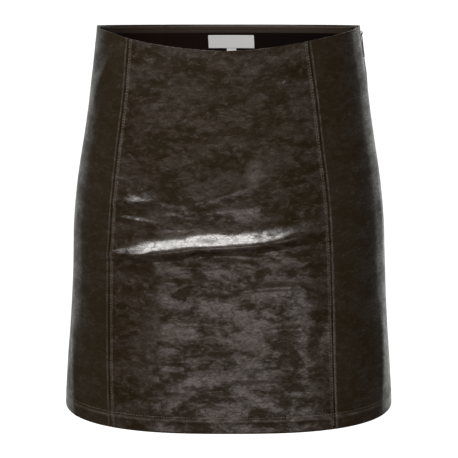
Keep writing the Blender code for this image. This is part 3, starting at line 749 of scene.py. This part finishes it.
def lay(columns, path):
    """Turns and drops of a grid.

    Its rows are shares of the way from the waist's edge to the hem's fold, and steps down.
    """
    level = np.array([float(line(np.array(HIP_DROP))) for line in columns])
    top = FORM.waist_edge(level)
    flat = FORM.hem_edge(level) - HEM_BEND
    share = np.array([row[0] for row in path])[:, None]
    step = np.array([row[1] for row in path])[:, None]
    drop = top + share * (flat - top) + step
    turn = np.stack([line(drop[:, k]) for k, line in enumerate(columns)], -1)
    return turn, drop


def cloth(name, turn, drop, lift, thick, finish, edge=0.0004, from_top=False):
    """A grid laid on the form, given its map in metres, its thickness and soft edges.

    Its relief attribute holds how far, in millimetres, seams and stitches push it out.
    """
    places, _ = FORM.place(turn, drop, lift)
    rows, cols = places.shape[:2]
    deselect()
    bpy.ops.mesh.primitive_grid_add(x_subdivisions=cols - 1, y_subdivisions=rows - 1, size=2)
    thing = bpy.context.object
    thing.name = name
    mesh = thing.data
    mesh.name = name
    flat = np.zeros(len(mesh.vertices) * 3, np.float32)
    mesh.vertices.foreach_get("co", flat)
    flat = flat.reshape(-1, 3)
    col = np.rint((flat[:, 0] + 1) / 2 * (cols - 1)).astype(int)
    row = np.rint((1 - flat[:, 1]) / 2 * (rows - 1)).astype(int)
    mesh.vertices.foreach_set("co", places[row, col].astype(np.float32).ravel())
    across = np.zeros((rows, cols))
    across[:, 1:] = np.cumsum(np.linalg.norm(np.diff(places, axis=1), axis=-1), axis=1)
    across += turn[:, :1] * METRES_PER_DEGREE
    down = np.zeros((rows, cols))
    down[1:] = np.cumsum(np.linalg.norm(np.diff(places, axis=0), axis=-1), axis=0)
    if not from_top:
        down += drop[:1]
    loops = np.zeros(len(mesh.loops), np.int32)
    mesh.loops.foreach_get("vertex_index", loops)
    layer = mesh.uv_layers[0]
    layer.name = "cloth"
    uv = np.stack([across[row, col][loops], down[row, col][loops]], -1)
    layer.data.foreach_set("uv", uv.astype(np.float32).ravel())
    relief = FORM.seam_relief(turn, drop) + FORM.hem_relief(turn, drop)
    made = mesh.attributes.new("relief", "FLOAT", "POINT")
    made.data.foreach_set("value", (relief * 1000)[row, col].astype(np.float32))
    mesh.update()
    shell = thing.modifiers.new("thickness", "SOLIDIFY")
    shell.thickness = thick
    shell.offset = -1
    shell.use_even_offset = True
    if edge:
        soft = thing.modifiers.new("soft_edges", "BEVEL")
        soft.width = edge
        soft.segments = 3
        soft.limit_method = "ANGLE"
        soft.angle_limit = math.radians(60)
    apply_all(thing)
    mesh.materials.clear()
    mesh.materials.append(bpy.data.materials[finish])
    mesh.shade_smooth()
    return thing


def panel(name, columns, cell, finish):
    """A shell from the waist's edge to its hem, round the fold and up inside."""
    path = [(d / RUN, 0.0, 0.0) for d in steps(RUN, cell, (0.0, 0.0006, 0.0013))]
    for step in range(1, 7):
        bend = math.pi * step / 6
        path.append((1.0, HEM_BEND * math.sin(bend), HEM_BEND * (math.cos(bend) - 1)))
    for up in np.linspace(0.002, TURN_UP - HEM_BEND, 8):
        path.append((1.0, -up, -2 * HEM_BEND))
    turn, drop = lay(columns, path)
    lift = np.array([row[2] for row in path])[:, None]
    return cloth(name, turn, drop, lift, WALL, finish)


def strip(name, seam, drop, away, behind, thick, finish, edge):
    """A band along a seam, behind the panels, with its rows' drops and columns' places."""
    turn = FORM.mark(seam, drop[:, None]) + FORM.degrees(away[None, :], drop[:, None])
    return cloth(name, turn, drop[:, None] + 0 * turn, -WALL - behind, thick, finish, edge)


def declare(made, node=None):
    """Hide the CAD part that a sheet stands in for, if any, and hang the sheet on the skirt's
    body.
    """
    if node:
        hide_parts(node)
    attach(made, "skirt")


def joined(name, pattern, frames, finish):
    """Many copies of a small mesh as one piece. frames are 4 by 4 placements."""
    base = np.array([v.co for v in pattern.data.vertices])
    faces = [tuple(p.vertices) for p in pattern.data.polygons]
    count = len(base)
    verts, every = [], []
    for k, m in enumerate(frames):
        verts.append(base @ m[:3, :3].T + m[:3, 3])
        every += [tuple(i + k * count for i in face) for face in faces]
    mesh = bpy.data.meshes.new(name)
    mesh.from_pydata(np.concatenate(verts).tolist(), [], every)
    mesh.materials.append(bpy.data.materials[finish])
    mesh.shade_smooth()
    thing = bpy.data.objects.new(name, mesh)
    bpy.context.collection.objects.link(thing)
    bpy.data.objects.remove(pattern, do_unlink=True)
    return thing


def one_stitch(length, thread):
    """A short thread that dives into the cloth at both ends."""
    deselect()
    bpy.ops.mesh.primitive_uv_sphere_add(segments=8, ring_count=6, radius=0.5)
    thing = bpy.context.object
    bpy.ops.transform.rotate(value=math.pi / 2, orient_axis="Y", center_override=(0, 0, 0))
    bpy.ops.object.transform_apply(location=True, rotation=True, scale=True)
    for vertex in thing.data.vertices:
        x, y, z = vertex.co
        bow = 1 - (2 * x) ** 2
        vertex.co = (x * length, y * thread, z * thread + (bow - 0.75) * thread * 0.5)
    return thing


def along_line(turn, drop, lift, pitch, skip=0.0):
    """Frames spaced by pitch along a line on the cloth: X along it, Z out of it."""
    spots, normals = FORM.place(turn, drop, lift)
    run = np.concatenate([[0], np.cumsum(np.linalg.norm(np.diff(spots, axis=0), axis=-1))])
    at = np.arange(skip + pitch / 2, run[-1] - skip, pitch)

    def pick(values, at):
        return np.stack([np.interp(at, run, values[:, k]) for k in range(3)], -1)

    spot, out = pick(spots, at), pick(normals, at)
    ahead = unit(pick(spots, at + 0.0005) - pick(spots, at - 0.0005))
    side = unit(np.cross(out, ahead))
    up = np.cross(ahead, side)
    frames = np.zeros((len(at), 4, 4))
    frames[:, :3] = np.stack([ahead, side, up, spot], -1)
    frames[:, 3, 3] = 1
    return frames


# ---------------------------------------------------------------- operators

class Step:
    """An operator that makes one group of pieces."""

    def execute(self, context):
        self.build(context.scene)
        return {"FINISHED"}


class SKIRT_OT_finishes(Step, bpy.types.Operator):
    """Make the materials"""

    bl_idname = "skirt.finishes"
    bl_label = "Finishes"

    def build(self, scene):
        c = scene.skirt_colours
        cell = scene.skirt_sizes.crackle
        dark, warm, pale = tuple(c.dark), tuple(c.warm), tuple(c.pale)
        crackled_leather("crackled_centre", dark, warm, pale, cell, 1.0, FRONT_SHEEN_SPOTS)
        plain = tuple(0.55 * a + 0.45 * b for a, b in zip(dark, warm))
        soft = tuple(1.25 * shade for shade in dark)
        crackled_leather("crackled_side", soft, plain, pale, cell, 0.45)
        # The facings get painted shade towards the zip (0.75) and a coated border in the warm
        # colour.
        woven("facing_cloth", tuple(c.inside), 0.0006, 0.75, 0.00010, 0.04, 0.75, warm)
        woven("label_cloth", tuple(c.label), 0.00045, 0.85, 0.00012)
        woven("tape_cloth", tuple(c.zipper), 0.0007, 0.85, 0.00012)
        lacquer("zip_lacquer", tuple(c.zipper), 0.45)
        lacquer("coil_nylon", tuple(c.zipper), 0.40)
        spun("brown_thread", tuple(c.thread))


class SKIRT_OT_panels(Step, bpy.types.Operator):
    """Make the four panels of the skirt"""

    bl_idname = "skirt.panels"
    bl_label = "Panels"

    def build(self, scene):
        cell = scene.skirt_sizes.cell
        half = GAP / 2
        cuts = (
            ("front_centre", beside("front_left", half), beside("front_right", -half),
             0.262, cell * 0.9, "crackled_centre", "leather_centre", 0.0985),
            ("front_side_a", beside("side_left", half), beside("front_left", -half),
             0.118, cell, "crackled_side", "leather_side", 0.0450),
            ("front_side_b", beside("front_right", half), zip_edge(-1),
             0.148, cell, "crackled_side", "leather_side", 0.0560),
            ("back", zip_edge(1), beside("side_left", -half, 360.0),
             0.535, cell * 1.3, "crackled_side", "leather_back", 0.2110),
        )
        for node, left, right, width, size, finish, slot, area in cuts:
            share = steps(width, size, CLOSE) / width
            made = panel("panel_" + node, between(left, right, share), size, finish)
            declare(made, node)


class SKIRT_OT_facings(Step, bpy.types.Operator):
    """Make the two facings inside the waist"""

    bl_idname = "skirt.facings"
    bl_label = "Facings"

    def build(self, scene):
        cell = 0.0040
        half = GAP / 2
        for name, node, left, right, width in (
                ("facing_strip_front", "facing_front", beside("side_left", half),
                 beside("side_right", -FACING_FROM_ZIP), 0.395),
                ("facing_strip_back", "facing_back", beside("side_right", FACING_FROM_ZIP),
                 beside("side_left", -half, 360.0), 0.405)):
            columns = between(left, right, steps(width, cell) / width)
            path = [(d / RUN, 0.0) for d in np.linspace(0.0, FACING_DEPTH, 20)]
            path[0] = (0.0, FACING_SET_DOWN)
            turn, drop = lay(columns, path)
            away = np.abs(turn - FORM.mark("side_right", drop)) / FORM.degrees(1.0, drop)
            step = (TAPE_THICK + GAP) * (1 - eased(away, TAPE_OUT + 0.009, 0.012))
            made = cloth(name, turn, drop, -WALL - GAP - step, WALL,
                         "facing_cloth", from_top=True)
            declare(made, node)


class SKIRT_OT_seams(Step, bpy.types.Operator):
    """Back each seam with its pressed allowances, and its faced top with a thin stay"""

    bl_idname = "skirt.seams"
    bl_label = "Seam allowances"

    def build(self, scene):
        away = np.linspace(-ALLOWANCE, ALLOWANCE, 13)
        for kind, seam, top, foot in (
                ("allowance", "front_left", 0.0500, SEAM_FOOT),
                ("allowance", "front_right", 0.0500, SEAM_FOOT),
                ("allowance", "side_left", 0.0450, SEAM_FOOT),
                ("allowance", "side_right", 0.1925, SEAM_FOOT),
                ("stay", "front_left", 0.0045, 0.0490),
                ("stay", "front_right", 0.0068, 0.0490),
                ("stay", "side_left", 0.0000, 0.0440)):
            behind, thick, edge = GAP, ALLOWANCE_THICK, 0.0002
            if kind == "stay":
                behind, thick, edge = STAY_THICK / 2, STAY_THICK, 0
            drop = np.linspace(top, foot, max(12, round((foot - top) / 0.003)))
            made = strip(seam + "_" + kind, seam, drop, away, behind, thick, "facing_cloth", edge)
            declare(made)


class SKIRT_OT_labels(Step, bpy.types.Operator):
    """Make the bare label and size tab"""

    bl_idname = "skirt.labels"
    bl_label = "Label and tab"

    def build(self, scene):
        lift = -2 * (WALL + GAP)
        for name, node, middle, width, top, foot in (
                ("label_bare", "woven_label", LABEL_MIDDLE, LABEL_WIDTH, LABEL_TOP, LABEL_FOOT),
                ("tab_bare", "size_tab", TAB_MIDDLE, TAB_WIDTH, LABEL_FOOT + GAP, TAB_FOOT)):
            across = np.linspace(middle + width / 2, middle - width / 2,
                                 max(8, round(width / 0.0012)))[None, :]
            drop = np.linspace(top, foot, 16)[:, None] + 0 * across
            turn = 180 - FORM.degrees(across, drop)
            made = cloth(name, turn, drop, lift, LABEL_THICK, "label_cloth", 0.0003)
            declare(made, node)


class SKIRT_OT_stitches(Step, bpy.types.Operator):
    """Sew the rows beside the front seams, round the hem and inside the waist"""

    bl_idname = "skirt.stitches"
    bl_label = "Stitches"

    def build(self, scene):
        sizes = scene.skirt_sizes
        thread, pitch = sizes.thread, sizes.stitch_pitch
        lift = thread * 0.05
        rows = []
        drop = np.linspace(0.0, SEAM_FOOT, 600)
        for name, side in (("front_left", 1), ("front_right", -1)):
            turn = FORM.mark(name, drop) + FORM.degrees(side * STITCH_IN, drop)
            top = float(FORM.waist_edge(turn[:1])[0])
            keep = drop > top + 0.001
            rows.append((name.replace("front", "seam") + "_stitches",
                         along_line(turn[keep], drop[keep], lift, pitch)))
        turn = np.linspace(-180, 180, 2400)
        drop = FORM.hem_edge(turn) - HEM_ROW
        rows.append(("hem_stitches", along_line(turn, drop, lift, pitch)))
        turn = np.linspace(95, 265, 1200)
        drop = FORM.waist_edge(turn) + WAIST_ROW
        inside = -2 * WALL - GAP - lift
        rows.append(("waist_stitches", along_line(turn, drop, inside, pitch * 0.8)))
        for name, frames in rows:
            made = joined(name, one_stitch(pitch * 0.86, thread), frames, "brown_thread")
            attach(made, "skirt")


class SKIRT_OT_zip(Step, bpy.types.Operator):
    """Make the concealed zip's tapes and coil, and paint its slider and pull"""

    bl_idname = "skirt.concealed_zip"
    bl_label = "Concealed zip"

    def build(self, scene):
        edge = CHAIN_HALF + GAP
        drop = np.linspace(TAPE_TOP, TAPE_FOOT, 100)
        for name, node, side in (("tape_front", "zip_tape_front", -1),
                                 ("tape_back", "zip_tape_back", 1)):
            away = np.linspace(*sorted((side * TAPE_OUT, side * edge)), 12)
            made = strip(name, "side_right", drop, away, GAP, TAPE_SHELL, "tape_cloth",
                         0.0002)
            declare(made, node)
        pitch = scene.skirt_sizes.coil_pitch
        line = np.linspace(CHAIN_TOP, CHAIN_FOOT, 200)
        turn = FORM.mark("side_right", line)
        frames = []
        for side in (-1, 1):
            shifted = turn + FORM.degrees(side * COIL_AWAY, line)
            row = along_line(shifted, line, -WALL - GAP - COIL_BEHIND, pitch,
                             0.0002 + 0.0007 * (side > 0))
            c, s = math.cos(TOOTH_TILT * side), math.sin(TOOTH_TILT * side)
            tilt = np.eye(4)
            tilt[:2, :2] = ((c, -s), (s, c))
            frames += [m @ tilt for m in row]
        deselect()
        bpy.ops.mesh.primitive_uv_sphere_add(segments=8, ring_count=6, radius=0.5)
        tooth = bpy.context.object
        for vertex in tooth.data.vertices:
            vertex.co = [a * b for a, b in zip(vertex.co, TOOTH)]
        made = joined("coil_teeth", tooth, frames, "coil_nylon")
        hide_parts("zip_chain")
        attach(made, "skirt")
        for node in ("zip_slider", "zip_pull"):
            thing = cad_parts[node]
            thing.data.materials.clear()
            thing.data.materials.append(bpy.data.materials["zip_lacquer"])


FLOOR_LEVEL = -1.15
CAMERA_PLACE = (0, -2.4, 0.3104)
CAMERA_DOWN, CAMERA_LENS = 12.642, 172.45       # degrees and millimetres
Lamp = namedtuple("Lamp", "name place target size power tint")
LAMPS = tuple(map(Lamp._make, (
    ("belly_box", (-0.44, -2.00, 1.05), (0, 0, -0.22), (2.60, 0.66), 122, (1, 0.99, 0.98)),
    ("pad_box", (-2.05, -1.25, 1.05), (0, 0, -0.22), (1.30, 0.50), 26, (1, 0.99, 0.98)),
    ("front_card", (0.20, -3.30, -0.98), (0, 0, -0.28), (3.40, 0.80), 24.0, (1, 0.91, 0.90)),
    ("back_left", (-1.25, 2.17, -0.30), (0, 0, -0.22), (2.60, 2.00), 7.0, (0.95, 1, 0.98)),
    ("back_right", (1.25, 2.17, -0.30), (0, 0, -0.22), (2.60, 2.00), 12.0, (0.97, 1, 0.98)),
)))


class SKIRT_OT_stage(Step, bpy.types.Operator):
    """Set the floor, the white background, the lights and the camera"""

    bl_idname = "skirt.stage"
    bl_label = "Studio"

    def build(self, scene):
        scene.view_settings.view_transform = "Standard"
        scene.view_settings.look = "None"
        world = bpy.data.worlds.new("studio_dark")
        world.use_nodes = True
        world.node_tree.nodes["Background"].inputs[0].default_value = (1.0, 0.94, 0.92, 1)
        world.node_tree.nodes["Background"].inputs[1].default_value = 0.22
        scene.world = world
        self.background()
        for lamp in LAMPS:
            self.light(*lamp)
        camera = bpy.data.cameras.new("photo_camera")
        camera.lens = CAMERA_LENS
        camera.clip_end = 60
        thing = bpy.data.objects.new("photo_camera", camera)
        thing.location = CAMERA_PLACE
        thing.rotation_euler = (math.radians(90 - CAMERA_DOWN), 0, 0)
        scene.collection.objects.link(thing)
        scene.camera = thing

    def background(self):
        """A pale floor and a white dome behind it."""
        deselect()
        bpy.ops.mesh.primitive_circle_add(vertices=96, radius=7, fill_type="NGON",
                                          location=(0, 0, FLOOR_LEVEL))
        floor = bpy.context.object
        floor.name = "studio_floor"
        deselect()
        bpy.ops.mesh.primitive_uv_sphere_add(segments=48, ring_count=24, radius=8)
        dome = bpy.context.object
        dome.name = "white_dome"
        for thing, strength in ((floor, 1.02), (dome, 1.05)):
            g = Graph(thing.name + "_paper")
            g.fill(g.shader, {"Base Color": (0.2, 0.2, 0.2, 1), "Roughness": 0.9,
                              "Emission Color": (1, 1, 1, 1), "Emission Strength": strength})
            thing.data.materials.append(g.material)
            for ray in ("diffuse", "glossy", "transmission", "volume_scatter", "shadow"):
                setattr(thing, "visible_" + ray, False)

    def light(self, name, place, target, size, power, tint):
        data = bpy.data.lights.new(name, "AREA")
        data.shape = "RECTANGLE"
        data.size, data.size_y = size
        data.energy = power
        data.color = tint
        thing = bpy.data.objects.new(name, data)
        thing.location = place
        way = Vector(target) - Vector(place)
        thing.rotation_euler = way.to_track_quat("-Z", "Y").to_euler()
        thing.visible_camera = False
        bpy.context.scene.collection.objects.link(thing)


class SKIRT_PT_panel(bpy.types.Panel):
    """Sizes, colours and pieces of the skirt"""

    bl_idname = "SKIRT_PT_panel"
    bl_label = "Skirt"
    bl_space_type = "VIEW_3D"
    bl_region_type = "UI"
    bl_category = "Skirt"

    def draw(self, context):
        for group in (context.scene.skirt_sizes, context.scene.skirt_colours):
            for name in group.__annotations__:
                self.layout.prop(group, name)
        for operator in OPERATORS:
            self.layout.operator(operator.bl_idname)


OPERATORS = (SKIRT_OT_finishes, SKIRT_OT_panels, SKIRT_OT_facings, SKIRT_OT_seams,
             SKIRT_OT_labels, SKIRT_OT_stitches, SKIRT_OT_zip, SKIRT_OT_stage)
CLASSES = (SkirtSizes, SkirtColours) + OPERATORS + (SKIRT_PT_panel,)


def register():
    for made in CLASSES:
        bpy.utils.register_class(made)
    bpy.types.Scene.skirt_sizes = PointerProperty(type=SkirtSizes)
    bpy.types.Scene.skirt_colours = PointerProperty(type=SkirtColours)


def unregister():
    del bpy.types.Scene.skirt_sizes
    del bpy.types.Scene.skirt_colours
    for made in reversed(CLASSES):
        bpy.utils.unregister_class(made)


def main():
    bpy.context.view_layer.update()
    register()
    for operator in OPERATORS:
        getattr(bpy.ops.skirt, operator.bl_idname.split(".")[1])()


if __name__ == "__main__":
    main()
